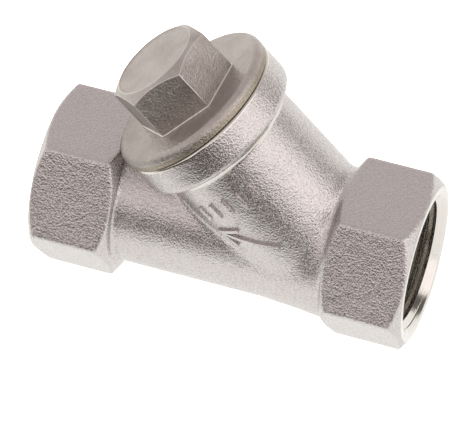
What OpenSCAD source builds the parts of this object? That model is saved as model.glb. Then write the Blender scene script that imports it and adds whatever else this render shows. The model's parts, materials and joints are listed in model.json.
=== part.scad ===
// Y strainer: a cast body with two female threaded hexagon ends and an inclined
// branch, closed by a hexagon headed screw cap that holds a cylindrical screen.
// Millimetres. X runs along the pipe, +X towards the inlet. X = 0 is halfway
// along the run, Y = 0 is the plane of the branch, and Z = 0 is the plane of the
// two lower hexagon flats, on which the strainer stands.

/* [Run] */
// Length over the two end faces
run_l = 76; // [60:1:110]
// Width across the flats of the hexagon ends
hex_af = 32; // [31.5:0.5:42]
// Length of a hexagon end, from its end face to the far end of its corners
hex_l = 14.85; // [14:0.05:20]
// Diameter of the plain ring on each end face, where the outer bevel starts
hex_face_d = 31.2; // [29:0.1:31.4]
// Slope of the bevels on the hexagon ends, in degrees from the end face
hex_bevel = 31; // [20:1:40]
// Wall of the run between its hexagon ends
run_wall = 3; // [2.5:0.1:4]

/* [Port threads] */
// Major diameter of the parallel pipe thread in each port
port_major_d = 26.44; // [24:0.01:28]
// Pitch of the port threads
port_pitch = 1.814; // [1:0.001:2.309]
// Length of each port thread
port_thread_l = 12.4; // [10:0.1:13]
// Mouth diameter of each port's countersink
port_mouth_d = 27.6; // [26.5:0.1:29]
// Step from the crest of the port thread in to the wall of the passage
passage_step = 1.06; // [0.8:0.01:3]

/* [Branch] */
// Angle between the branch and the run, in degrees
branch_angle = 48; // [42:1:60]
// Distance from the inlet end face to where the branch meets the run's axis
inlet_to_branch = 21.25; // [20:0.25:30]
// Height from the plane of the upper hexagon flats to the lowest edge of the cap
cap_hex_gap = 0.8; // [0.3:0.1:6]
// Wall of the branch below the collar
branch_wall = 2.1; // [1.8:0.1:3]
// Length of the collar around the mouth of the branch
collar_l = 7; // [6.5:0.1:12]
// Wall of the collar outside the root of the cap thread
collar_wall = 3.2; // [2.4:0.1:5]
// Radius that rounds the lower edge of the collar, and the neck under it
collar_round = 1.2; // [0.5:0.1:1.6]
// Height of the upper face of the screen's seat web above the run's axis
web_h = 8; // [7:0.1:12]
// Thickness of the seat web
web_t = 3.5; // [2.5:0.1:4.5]
// Depth of the pocket in the web that centres the screen
seat_depth = 1.2; // [0.8:0.1:1.5]
// Diameter of the hole in the web through which water enters the screen
seat_hole_d = 17.4; // [14:0.1:17.8]

/* [Cap] */
// Pitch of the cap's metric thread
cap_pitch = 1.5; // [1:0.25:2]
// Length of the cap's threaded spigot, from under its flange
cap_thread_l = 6; // [5:0.1:6.2]
// Step from the branch's bore out to the root of the cap thread
cap_thread_step = 2; // [1.6:0.1:3]
// Thickness of the cap's flange
flange_t = 2.95; // [2:0.05:5]
// Radius that rounds the upper edge of the flange
flange_round = 1.2; // [0.5:0.1:1.6]
// Width across the flats of the cap's hexagon
cap_hex_af = 19; // [13:0.5:24]
// Height of the cap's hexagon above its flange
cap_hex_h = 9.8; // [6:0.1:14]
// Diameter of the flat on top of the cap's hexagon
cap_face_d = 17.4; // [10:0.1:17.8]
// Slope of the bevel on the cap's hexagon, in degrees from its top
cap_hex_bevel = 32; // [20:1:40]
// How far the hexagon stands turned when the cap is tight, in degrees
cap_hex_turn = 23; // [0:1:59]
// Depth of the pocket in the cap that holds the top of the screen
cap_pocket_l = 4.5; // [2.5:0.1:5]

/* [Gasket] */
// Thickness of the cap's gasket
gasket_t = 1.2; // [1:0.1:2]
// Radial width of the gasket
gasket_w = 1.85; // [1.2:0.05:2.2]

/* [Screen] */
// Outside diameter of the perforated tube
screen_d = 20; // [17.5:0.5:24]
// Thickness of the perforated sheet
sheet_t = 0.5; // [0.4:0.1:0.8]
// Thickness of the woven mesh inside the perforated sheet
mesh_t = 0.25; // [0.15:0.05:0.4]
// Wall of an end ring on each side of the sheet and the mesh
ring_wall = 0.5; // [0.4:0.1:0.8]
// Height of an end ring
ring_h = 2.6; // [2:0.1:4]
// Thickness of an end ring across the ends of the sheet
ring_base = 0.6; // [0.4:0.1:1]

/* [Cast marks] */
// How far the flow arrow and the bars stand proud of the casting
mark_proud = 0.4; // [0.2:0.1:0.6]
// Length of the flow arrow
arrow_l = 12; // [8:0.5:14]
// Width of the flow arrow's head
arrow_w = 4.2; // [3:0.1:6]
// Number of raised bars under the collar
bar_n = 5; // [0:1:6]

/* [Fits] */
// Radial clearance between the screen's rings and the pockets that hold them
ring_gap = 0.2; // [0.1:0.05:0.4]
// Gap between the screen's rings and the wall of the branch
branch_gap = 1.5; // [1:0.1:4]
// Running clearance between the cap thread and the branch, on the radius
thread_gap = 0.05; // [0.02:0.01:0.1]
// Radial clearance around the gasket
gasket_gap = 0.1; // [0.05:0.05:0.3]
// Depth of the branch's thread beyond the end of the spigot
thread_clear = 0.4; // [0.2:0.1:0.5]
// Gap left between the collar and the flange when the gasket is tight
joint_gap = 0.15; // [0.1:0.05:0.4]
// Gap between faces that rest on each other
face_gap = 0.02; // [0.01:0.01:0.05]

/* [Hidden] */
$fn = 96;
// Steps in each quarter round
round_steps = 6;
// How far cuts run past the faces they open
cut = 0.5;
// Depth of a pipe thread, as a share of its pitch
pipe_thread_share = 0.640327;
// Depth of a metric thread's pitch line below its crest, as a share of its pitch
metric_pitch_share = 0.32476;
// Raised bars: width, length, degrees from one to the next, the turn of the
// middle one about the branch, and the distance of their middles below the collar
bar_w = 0.9;
bar_l = 3.6;
bar_step = 13;
bar_middle = -84;
bar_drop = 8;
// Flow arrow: width of its shaft and length of its head as shares of arrow_w and
// arrow_l, and the height of its middle above the axis of the run
arrow_shaft = 0.36;
arrow_head = 0.4;
arrow_rise = 10;

// Run
axis_z = hex_af / 2;
hex_corner_r = hex_af / 2 / cos(30);
bevel_slope = tan(hex_bevel);
port_minor_r = port_major_d / 2 - pipe_thread_share * port_pitch;
passage_r = port_minor_r - passage_step;
run_r = passage_r + run_wall;
port_mouth_l = port_mouth_d / 2 - port_minor_r;
port_l = port_thread_l + port_mouth_l;

// Branch: heights are measured along its axis, from the axis of the run
branch_x = run_l / 2 - inlet_to_branch;
branch_tilt = 90 - branch_angle;
ring_r = screen_d / 2 + ring_wall;
branch_bore_r = ring_r + branch_gap;
branch_r = branch_bore_r + branch_wall;
cap_major_r = branch_bore_r + cap_thread_step;
cap_thread_r = cap_major_r - metric_pitch_share * cap_pitch;
collar_r = cap_major_r + collar_wall;
flange_h = (hex_af / 2 + cap_hex_gap + collar_r * cos(branch_angle)) / sin(branch_angle);
collar_top = flange_h - joint_gap;
collar_h = collar_top - collar_l;
thread_floor = flange_h - cap_thread_l - thread_clear;
seat_h = web_h - seat_depth;

// Cap and gasket
spigot_end = flange_h - cap_thread_l;
pocket_end = spigot_end + cap_pocket_l;
flange_top = flange_h + flange_t;
cap_top = flange_top + cap_hex_h;
cap_hex_r = cap_hex_af / 2 / cos(30);
gasket_in_r = cap_major_r + gasket_gap;
gasket_out_r = gasket_in_r + gasket_w;
gasket_floor = flange_h - gasket_t - 2 * face_gap;

// Screen
screen_bottom = seat_h + face_gap;
screen_top = pocket_end - face_gap;
mesh_r = screen_d / 2 - sheet_t;
ring_in_r = mesh_r - mesh_t - ring_wall;
sheet_bottom = screen_bottom + ring_base;
sheet_l = screen_top - screen_bottom - 2 * ring_base;

// Points of a quarter round about a centre, from one angle to another
function arc(cx, cy, r, from, to) = [
    for (i = [0 : round_steps])
        let (a = from + (to - from) * i / round_steps) [cx + r * cos(a), cy + r * sin(a)]
];

// Places what it holds on the run's axis, pointing towards +X
module on_run() translate([0, 0, axis_z]) rotate([0, 90, 0]) children();

// Places what it holds on the branch's axis, with its heights along the branch
module on_branch() translate([branch_x, 0, axis_z]) rotate([0, -branch_tilt, 0]) children();

// A ring between two radii and two heights
module ring(in_r, out_r, low, high) {
    translate([0, 0, low]) difference() {
        cylinder(r = out_r, h = high - low);
        translate([0, 0, -cut]) cylinder(r = in_r, h = high - low + 2 * cut);
    }
}

// One hexagon end standing on its inner side, its end face at run_l / 2
module hex_end() {
    rise = hex_corner_r - hex_face_d / 2;
    intersection() {
        rotate([0, 0, 30]) cylinder(r = hex_corner_r, h = run_l / 2, $fn = 6);
        rotate_extrude() polygon([
            [0, run_l / 2],
            [hex_face_d / 2, run_l / 2],
            [hex_corner_r + cut, run_l / 2 - (rise + cut) * bevel_slope],
            [hex_corner_r + cut, run_l / 2 - hex_l + cut * bevel_slope],
            [hex_face_d / 2, run_l / 2 - hex_l - rise * bevel_slope],
            [0, run_l / 2 - hex_l - rise * bevel_slope]
        ]);
    }
}

// The threaded hole in one end, standing with its mouth at run_l / 2
module port_hole() {
    rotate_extrude() polygon([
        [0, run_l / 2 + cut],
        [port_mouth_d / 2 + cut, run_l / 2 + cut],
        [port_minor_r, run_l / 2 - port_mouth_l],
        [port_minor_r, run_l / 2 - port_l],
        [passage_r, run_l / 2 - port_l - passage_step],
        [0, run_l / 2 - port_l - passage_step]
    ]);
}

// Collar, rounded below, with a round neck down to the barrel
module collar() {
    neck_r = collar_r - collar_round - branch_r;
    rotate_extrude() polygon(concat(
        [[0, collar_h - neck_r], [branch_r, collar_h - neck_r]],
        arc(branch_r + neck_r, collar_h - neck_r, neck_r, 180, 90),
        arc(collar_r - collar_round, collar_h + collar_round, collar_round, -90, 0),
        arc(collar_r - collar_round / 2, collar_top - collar_round / 2, collar_round / 2, 0, 90),
        [[0, collar_top]]
    ));
}

// Hole down the branch: gasket seat, cap thread and bore to the web
module branch_hole() {
    rotate_extrude() polygon([
        [0, collar_top + cut],
        [gasket_out_r + gasket_gap, collar_top + cut],
        [gasket_out_r + gasket_gap, gasket_floor],
        [cap_thread_r, gasket_floor],
        [cap_thread_r, thread_floor],
        [branch_bore_r, thread_floor - cap_thread_r + branch_bore_r],
        [branch_bore_r, web_h],
        [0, web_h]
    ]);
}

// Half of the run's passage, on one side of the seat web
module passage(low, high) {
    size = run_l + hex_af;
    intersection() {
        on_run() translate([0, 0, -run_l / 2]) cylinder(r = passage_r, h = run_l);
        on_branch() translate([-size, -size, low]) cube([2 * size, 2 * size, high - low]);
    }
}

// Raised arrow on the front of the branch, pointing the way the water flows
module flow_arrow() {
    intersection() {
        on_branch() cylinder(r = branch_r + mark_proud, h = collar_h);
        translate([branch_x - arrow_rise, 0, axis_z + arrow_rise]) rotate([90, 0, 0])
            linear_extrude(height = collar_r) polygon([
                [-arrow_l / 2, 0],
                [-arrow_l / 2 + arrow_l * arrow_head, arrow_w / 2],
                [-arrow_l / 2 + arrow_l * arrow_head, arrow_w * arrow_shaft / 2],
                [arrow_l / 2, arrow_w * arrow_shaft / 2],
                [arrow_l / 2, -arrow_w * arrow_shaft / 2],
                [-arrow_l / 2 + arrow_l * arrow_head, -arrow_w * arrow_shaft / 2],
                [-arrow_l / 2 + arrow_l * arrow_head, -arrow_w / 2]
            ]);
    }
}

// Row of raised bars around the front of the branch, under its collar
module mark_bars() {
    intersection() {
        on_branch() cylinder(r = branch_r + mark_proud, h = collar_h);
        for (i = [0 : 1 : bar_n - 1])
            on_branch()
                rotate([0, 0, bar_middle + (i - (bar_n - 1) / 2) * bar_step])
                    translate([branch_r / 2, -bar_w / 2, collar_h - bar_drop - bar_l / 2])
                        cube([branch_r, bar_w, bar_l]);
    }
}

module body() {
    color("lightgray") difference() {
        union() {
            on_run() hex_end();
            mirror([1, 0, 0]) on_run() hex_end();
            on_run() translate([0, 0, -run_l / 2 + hex_l]) cylinder(r = run_r, h = run_l - 2 * hex_l);
            on_branch() cylinder(r = branch_r, h = collar_h);
            on_branch() collar();
            flow_arrow();
            mark_bars();
        }
        on_run() port_hole();
        mirror([1, 0, 0]) on_run() port_hole();
        passage(web_h, run_l);
        passage(-run_l, web_h - web_t);
        on_branch() branch_hole();
        on_branch() translate([0, 0, web_h - web_t - cut]) cylinder(d = seat_hole_d, h = web_t + 2 * cut);
        on_branch() translate([0, 0, seat_h]) cylinder(r = ring_r + ring_gap, h = seat_depth + cut);
    }
}

module cap() {
    shank_r = cap_thread_r - thread_gap;
    top_slope = tan(cap_hex_bevel);
    color("darkkhaki") on_branch() {
        difference() {
            rotate_extrude() polygon(concat(
                [[0, spigot_end], [shank_r, spigot_end], [shank_r, flange_h], [collar_r, flange_h]],
                arc(collar_r - flange_round, flange_top - flange_round, flange_round, 0, 90),
                [[0, flange_top]]
            ));
            translate([0, 0, spigot_end - cut]) cylinder(r = ring_r + ring_gap, h = cap_pocket_l + cut);
        }
        intersection() {
            rotate([0, 0, cap_hex_turn])
                translate([0, 0, flange_top - cut]) cylinder(r = cap_hex_r, h = cap_hex_h + cut, $fn = 6);
            rotate_extrude() polygon([
                [0, flange_top - cut],
                [cap_hex_r + cut, flange_top - cut],
                [cap_hex_r + cut, cap_top - (cap_hex_r + cut - cap_face_d / 2) * top_slope],
                [cap_face_d / 2, cap_top],
                [0, cap_top]
            ]);
        }
    }
}

module cap_gasket() {
    color("white") on_branch()
        ring(gasket_in_r, gasket_out_r, gasket_floor + face_gap, flange_h - face_gap);
}

module screen_tube() {
    color("silver") on_branch()
        ring(mesh_r, screen_d / 2, sheet_bottom, sheet_bottom + sheet_l);
}

module screen_mesh() {
    color("gray") on_branch()
        ring(mesh_r - mesh_t, mesh_r, sheet_bottom, sheet_bottom + sheet_l);
}

// Channel ring that takes the lower ends of the sheet and the mesh
module end_ring() {
    difference() {
        ring(ring_in_r, ring_r, 0, ring_h);
        ring(mesh_r - mesh_t, screen_d / 2, ring_base, ring_h + cut);
    }
}

module screen_bottom_ring() {
    color("silver") on_branch() translate([0, 0, screen_bottom]) end_ring();
}

module screen_top_ring() {
    color("silver") on_branch() translate([0, 0, screen_top]) mirror([0, 0, 1]) end_ring();
}

body();
cap();
cap_gasket();
screen_tube();
screen_mesh();
screen_top_ring();
screen_bottom_ring();
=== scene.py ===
"""Looks of a cast steel Y strainer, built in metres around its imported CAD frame.

The housing is one hollow casting with threaded ports, the cap screws into its branch on a
flat gasket, and a perforated screen with a woven liner hangs between the cap and the seat.
Two axes place everything: the run, along the pipe, and the branch, along the cap's thread.
"""
import json
import logging
import math
from collections.abc import Callable, Sequence
from dataclasses import dataclass
from enum import Enum
from typing import Any

import bpy
from mathutils import Matrix, Vector


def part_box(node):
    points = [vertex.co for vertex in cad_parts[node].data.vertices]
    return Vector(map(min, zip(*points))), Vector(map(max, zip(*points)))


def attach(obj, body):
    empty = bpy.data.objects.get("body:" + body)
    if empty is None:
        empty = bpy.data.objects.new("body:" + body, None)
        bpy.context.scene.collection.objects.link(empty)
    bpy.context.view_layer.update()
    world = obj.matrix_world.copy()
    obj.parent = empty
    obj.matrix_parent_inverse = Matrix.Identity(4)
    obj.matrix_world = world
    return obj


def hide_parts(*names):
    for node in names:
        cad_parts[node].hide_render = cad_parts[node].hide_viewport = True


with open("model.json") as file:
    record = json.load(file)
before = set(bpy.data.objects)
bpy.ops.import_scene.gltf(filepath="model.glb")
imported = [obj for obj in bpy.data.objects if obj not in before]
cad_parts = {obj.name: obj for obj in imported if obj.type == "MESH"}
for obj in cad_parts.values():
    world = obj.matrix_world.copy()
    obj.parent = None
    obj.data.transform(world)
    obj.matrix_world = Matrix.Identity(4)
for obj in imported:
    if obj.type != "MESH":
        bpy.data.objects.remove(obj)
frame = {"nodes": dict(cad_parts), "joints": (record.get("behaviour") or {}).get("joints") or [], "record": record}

LOG = logging.getLogger("strainer")
MM = 0.001
NEAR = 0.01 * MM
TINY = 0.001 * MM
Point = tuple[float, float]
Colour = tuple[float, float, float]


class Join(Enum):
    """How one solid is combined with another."""

    ADD = "UNION"
    CUT = "DIFFERENCE"
    KEEP = "INTERSECT"


class Part(Enum):
    """What is picked on a mesh before an operator acts on it."""

    POINTS = "VERT"
    EDGES = "EDGE"


@dataclass(frozen=True)
class Extent:
    """How far a CAD node reaches along an axis and away from it, in metres."""

    low: float
    high: float
    inner: float
    outer: float


@dataclass(frozen=True)
class Axis:
    """A line that round pieces are made about.

    Local +Z runs along it and local +Y stays on the row's +Y.
    """

    origin: Vector
    direction: Vector

    def matrix(self) -> Matrix:
        """Return the matrix that takes local places to the row's frame.

        Returns:
            The matrix, which puts local zero on the axis's origin.
        """
        z = self.direction.normalized()
        y = Vector((0.0, 1.0, 0.0))
        x = y.cross(z)
        return Matrix.Translation(self.origin) @ Matrix((x, y, z)).transposed().to_4x4()

    def height(self, point: Vector) -> float:
        """Return how far along the axis a point lies."""
        return (point - self.origin).dot(self.direction)

    def radius(self, point: Vector) -> float:
        """Return how far from the axis a point lies."""
        offset = point - self.origin
        return (offset - self.direction * offset.dot(self.direction)).length

    def extent(self, node: str) -> Extent:
        """Measure a CAD node.

        Args:
            node: the node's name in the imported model.

        Returns:
            The node's reach along this axis and away from it.
        """
        points = [vertex.co for vertex in frame["nodes"][node].data.vertices]
        heights = [self.height(point) for point in points]
        radii = [self.radius(point) for point in points]
        return Extent(min(heights), max(heights), min(radii), max(radii))


def mount(name: str) -> dict[str, Any]:
    """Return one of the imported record's mounts by its name."""
    return next(entry for entry in frame["record"]["mounts"] if entry["name"] == name)


def joint(name: str) -> dict[str, Any]:
    """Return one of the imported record's joints by its name."""
    return next(entry for entry in frame["joints"] if entry["name"] == name)


def arc(centre: Point, radius: float, start: float, end: float, steps: int = 5) -> list[Point]:
    """Work out the points of a round on an outline.

    Args:
        centre: the round's centre as (radius, height).
        radius: the round's own radius.
        start: the first point's direction, in degrees.
        end: the last point's direction, in degrees.
        steps: the number of straight steps in the round.

    Returns:
        The round's points as (radius, height).
    """
    angles = [math.radians(start + (end - start) * i / steps) for i in range(steps + 1)]
    return [(centre[0] + radius * math.cos(a), centre[1] + radius * math.sin(a)) for a in angles]


class Bench:
    """The workbench: modelling steps, each of which leaves its piece active in object mode."""

    STEPS = 128

    @staticmethod
    def clear() -> None:
        """Leave edit mode and put down whatever is selected."""
        if bpy.context.mode != "OBJECT":
            bpy.ops.object.mode_set(mode="OBJECT")
        bpy.ops.object.select_all(action="DESELECT")

    @staticmethod
    def take(piece: bpy.types.Object) -> None:
        """Select one piece alone and make it active.

        Args:
            piece: the piece.
        """
        Bench.clear()
        piece.select_set(True)
        bpy.context.view_layer.objects.active = piece

    @staticmethod
    def new(name: str) -> bpy.types.Object:
        """Name the primitive that was just added and return it.

        Args:
            name: the name for it and its mesh.

        Returns:
            The piece.
        """
        piece = bpy.context.object
        piece.name = name
        piece.data.name = name
        return piece

    @staticmethod
    def pick(piece: bpy.types.Object, part: Part, test: Callable[[Vector], bool]) -> None:
        """Select parts of a mesh by place and enter edit mode.

        Args:
            piece: the piece to work on.
            part: whether points or edges are picked.
            test: says whether the part with this middle is picked.
        """
        Bench.take(piece)
        mesh = piece.data
        for group in (mesh.vertices, mesh.edges, mesh.polygons):
            group.foreach_set("select", [False] * len(group))
        if part is Part.POINTS:
            for point in mesh.vertices:
                point.select = test(point.co)
        else:
            for edge in mesh.edges:
                ends = [mesh.vertices[i].co for i in edge.vertices]
                edge.select = test((ends[0] + ends[1]) / 2)
        bpy.ops.object.mode_set(mode="EDIT")
        bpy.ops.mesh.select_mode(type=part.value)

    @staticmethod
    def put(piece: bpy.types.Object, matrix: Matrix) -> bpy.types.Object:
        """Move a piece's mesh by a matrix, so that its object stays at the origin.

        Args:
            piece: the piece to place.
            matrix: where its local frame goes.

        Returns:
            The same piece.
        """
        Bench.take(piece)
        piece.matrix_world = matrix @ piece.matrix_world
        bpy.ops.object.transform_apply(location=True, rotation=True, scale=True)
        return piece

    @staticmethod
    def turned(
        name: str, outline: Sequence[Point], steps: int = STEPS, hollow: bool = False
    ) -> bpy.types.Object:
        """Turn a solid about local Z from a ring that is extruded and scaled along an outline.

        Args:
            name: the piece's name.
            outline: (radius, height) points, from one end face to the other.
            steps: the number of sides of each ring.
            hollow: join the last ring to the first instead of closing both ends.

        Returns:
            The solid, its axis on local Z.
        """
        Bench.clear()
        radius, height = outline[0]
        fill = "NOTHING" if hollow else "NGON"
        bpy.ops.mesh.primitive_circle_add(vertices=steps, radius=radius, fill_type=fill)
        piece = Bench.new(name)
        bpy.ops.object.mode_set(mode="EDIT")
        bpy.ops.mesh.select_all(action="SELECT")
        bpy.ops.transform.translate(value=(0, 0, height))
        for next_radius, next_height in outline[1:]:
            rise = (0, 0, next_height - height)
            bpy.ops.mesh.extrude_region_move(TRANSFORM_OT_translate={"value": rise})
            share = next_radius / radius
            bpy.ops.transform.resize(value=(share, share, 1), center_override=(0, 0, 0))
            radius, height = next_radius, next_height
        if hollow:
            Bench.clear()
            last = len(piece.data.vertices) - steps
            for edge in piece.data.edges:
                ends = edge.vertices
                edge.select = max(ends) < steps or min(ends) >= last
            Bench.take(piece)
            bpy.ops.object.mode_set(mode="EDIT")
            bpy.ops.mesh.select_mode(type="EDGE")
            bpy.ops.mesh.bridge_edge_loops()
        Bench.outward(piece)
        return piece

    @staticmethod
    def outward(piece: bpy.types.Object, gap: float = 1e-7) -> None:
        """Merge a piece's doubled points and turn its faces outwards.

        Args:
            piece: a piece whose mesh is closed.
            gap: how near two points are to be merged, in metres.
        """
        Bench.take(piece)
        bpy.ops.object.mode_set(mode="EDIT")
        bpy.ops.mesh.select_all(action="SELECT")
        bpy.ops.mesh.remove_doubles(threshold=gap)
        bpy.ops.mesh.normals_make_consistent(inside=False)
        bpy.ops.object.mode_set(mode="OBJECT")

    @staticmethod
    def prism(
        name: str, sides: int, radius: float, low: float, high: float, turn: float = 0.0
    ) -> bpy.types.Object:
        """Add a prism that stands on local Z.

        Args:
            name: the piece's name.
            sides: the number of its sides.
            radius: its corner radius.
            low: the height of its lower end.
            high: the height of its upper end.
            turn: how far it stands turned about Z, in degrees.

        Returns:
            The prism.
        """
        Bench.clear()
        bpy.ops.mesh.primitive_cylinder_add(
            vertices=sides, radius=radius, depth=high - low, location=(0, 0, (high + low) / 2)
        )
        return Bench.put(Bench.new(name), Matrix.Rotation(math.radians(turn), 4, "Z"))

    @staticmethod
    def block(name: str, size: Vector, centre: Vector) -> bpy.types.Object:
        """Add a block of a size about a centre, with its mesh in place.

        Args:
            name: the piece's name.
            size: its size along X, Y and Z.
            centre: its middle.

        Returns:
            The block.
        """
        Bench.clear()
        bpy.ops.mesh.primitive_cube_add(size=1, location=centre)
        piece = Bench.new(name)
        piece.scale = size
        return Bench.put(piece, Matrix.Identity(4))

    @staticmethod
    def combine(target: bpy.types.Object, tool: bpy.types.Object, how: Join) -> bpy.types.Object:
        """Add, cut or keep with a second solid, which is used up.

        Args:
            target: the piece that changes.
            tool: the solid that it is combined with.
            how: whether the tool is added, cut away or kept inside.

        Returns:
            The target.
        """
        Bench.take(target)
        step = target.modifiers.new("combine", "BOOLEAN")
        step.operation = how.value
        step.solver = "MANIFOLD"
        step.object = tool
        bpy.ops.object.modifier_apply(modifier=step.name)
        bpy.data.objects.remove(tool)
        return target

    @staticmethod
    def modify(piece: bpy.types.Object, kind: str, **settings: Any) -> bpy.types.Object:
        """Add one modifier to a piece and apply it.

        Args:
            piece: the piece to change.
            kind: the modifier's type.
            settings: the modifier's own settings.

        Returns:
            The same piece.
        """
        Bench.take(piece)
        step = piece.modifiers.new("step", kind)
        for key, value in settings.items():
            setattr(step, key, value)
        bpy.ops.object.modifier_apply(modifier=step.name)
        return piece

    @staticmethod
    def soften(piece: bpy.types.Object, width: float, segments: int = 2, angle: float = 25.0) -> None:
        """Round every edge of a piece that is sharper than an angle in degrees."""
        Bench.modify(
            piece,
            "BEVEL",
            width=width,
            segments=segments,
            limit_method="ANGLE",
            angle_limit=math.radians(angle),
            miter_outer="MITER_ARC",
            use_clamp_overlap=True,
        )

    @staticmethod
    def join(pieces: Sequence[bpy.types.Object]) -> bpy.types.Object:
        """Join pieces into the first one without combining their solids.

        Args:
            pieces: the pieces, the first of which takes in the others.

        Returns:
            The first piece.
        """
        Bench.clear()
        for piece in pieces:
            piece.select_set(True)
        bpy.context.view_layer.objects.active = pieces[0]
        bpy.ops.object.join()
        return pieces[0]

    @staticmethod
    def copy(piece: bpy.types.Object, name: str) -> bpy.types.Object:
        """Copy a piece with a mesh of its own.

        Args:
            piece: the pattern.
            name: the copy's name.

        Returns:
            The copy.
        """
        twin = piece.copy()
        twin.data = piece.data.copy()
        twin.name = name
        bpy.context.scene.collection.objects.link(twin)
        return twin

    @staticmethod
    def shade(piece: bpy.types.Object, angle: float = 32.0) -> None:
        """Shade a piece smooth but for edges sharper than an angle in degrees.

        Args:
            piece: the piece.
            angle: how sharp an edge has to be to stay sharp, in degrees.
        """
        Bench.take(piece)
        bpy.ops.object.shade_smooth_by_angle(angle=math.radians(angle))
        Bench.modify(piece, "WEIGHTED_NORMAL", mode="FACE_AREA", weight=50, keep_sharp=True)


@dataclass(frozen=True)
class Thread:
    """A right-hand screw thread made as a ridge along a helix.

    ``root`` is where the ridge is buried in its wall and ``crest`` is its tip, so an
    internal thread has its crest inside its root.
    """

    root: float
    crest: float
    pitch: float
    root_half: float
    crest_half: float
    low: float
    turns: int
    start: float = 0.0

    def ridge(self, name: str) -> bpy.types.Object:
        """Sweep the ridge as a closed solid.

        Args:
            name: the piece's name.

        Returns:
            The ridge about local Z, from ``low`` upwards.
        """
        Bench.clear()
        bpy.ops.mesh.primitive_plane_add(size=1, rotation=(math.pi / 2, 0, 0))
        piece = Bench.put(Bench.new(name), Matrix.Identity(4))
        middle = (self.root + self.crest) / 2
        depth = abs(self.root - self.crest)
        piece.scale = (depth, 1, 2 * self.root_half)
        piece.location = (middle, 0, self.low)
        Bench.put(piece, Matrix.Identity(4))
        inward = self.crest < self.root
        Bench.pick(piece, Part.POINTS, lambda co: (co.x < middle) == inward)
        share = self.crest_half / self.root_half
        bpy.ops.transform.resize(value=(1, 1, share), center_override=(middle, 0, self.low))
        bpy.ops.mesh.select_all(action="SELECT")
        bpy.ops.mesh.delete(type="ONLY_FACE")
        Bench.modify(
            piece,
            "SCREW",
            axis="Z",
            angle=math.tau,
            screw_offset=self.pitch,
            iterations=self.turns,
            steps=Bench.STEPS // 2,
            render_steps=Bench.STEPS // 2,
            use_merge_vertices=False,
        )
        Bench.take(piece)
        bpy.ops.object.mode_set(mode="EDIT")
        bpy.ops.mesh.select_all(action="SELECT")
        bpy.ops.mesh.fill_holes(sides=4)
        Bench.outward(piece)
        return Bench.put(piece, Matrix.Rotation(math.radians(self.start), 4, "Z"))


class Sig:
    """A number on a shader wire that takes part in Python expressions."""

    def __init__(self, graph: "Graph", socket: bpy.types.NodeSocket) -> None:
        """Wrap a node's output socket."""
        self.graph = graph
        self.socket = socket

    def math(self, kind: str, *others: "float | Sig") -> "Sig":
        """Add a Math node whose first input is this number.

        Args:
            kind: the Math node's operation.
            others: its further inputs.

        Returns:
            The node's result.
        """
        values = {0: self} | {i + 1: other for i, other in enumerate(others)}
        return self.graph.number("ShaderNodeMath", {"operation": kind}, values)

    def __add__(self, other: "float | Sig") -> "Sig":
        """Add a number."""
        return self.math("ADD", other)

    def __radd__(self, other: float) -> "Sig":
        """Add to a number."""
        return self.math("ADD", other)

    def __sub__(self, other: "float | Sig") -> "Sig":
        """Take a number away."""
        return self.math("SUBTRACT", other)

    def __rsub__(self, other: float) -> "Sig":
        """Take away from a number."""
        return (self * -1.0) + other

    def __mul__(self, other: "float | Sig") -> "Sig":
        """Multiply by a number."""
        return self.math("MULTIPLY", other)

    def __rmul__(self, other: float) -> "Sig":
        """Multiply a number."""
        return self.math("MULTIPLY", other)

    def step(self, low: float, high: float) -> "Sig":
        """Go smoothly from 0 at ``low`` to 1 at ``high``, which may be the lower of the two.

        Args:
            low: where the result is 0.
            high: where it is 1.

        Returns:
            The result, from 0 to 1.
        """
        settings = {"interpolation_type": "SMOOTHSTEP"}
        values = {"Value": self, "From Min": min(low, high), "From Max": max(low, high)}
        rise = self.graph.number("ShaderNodeMapRange", settings, values)
        return rise if high > low else 1.0 - rise


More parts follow.
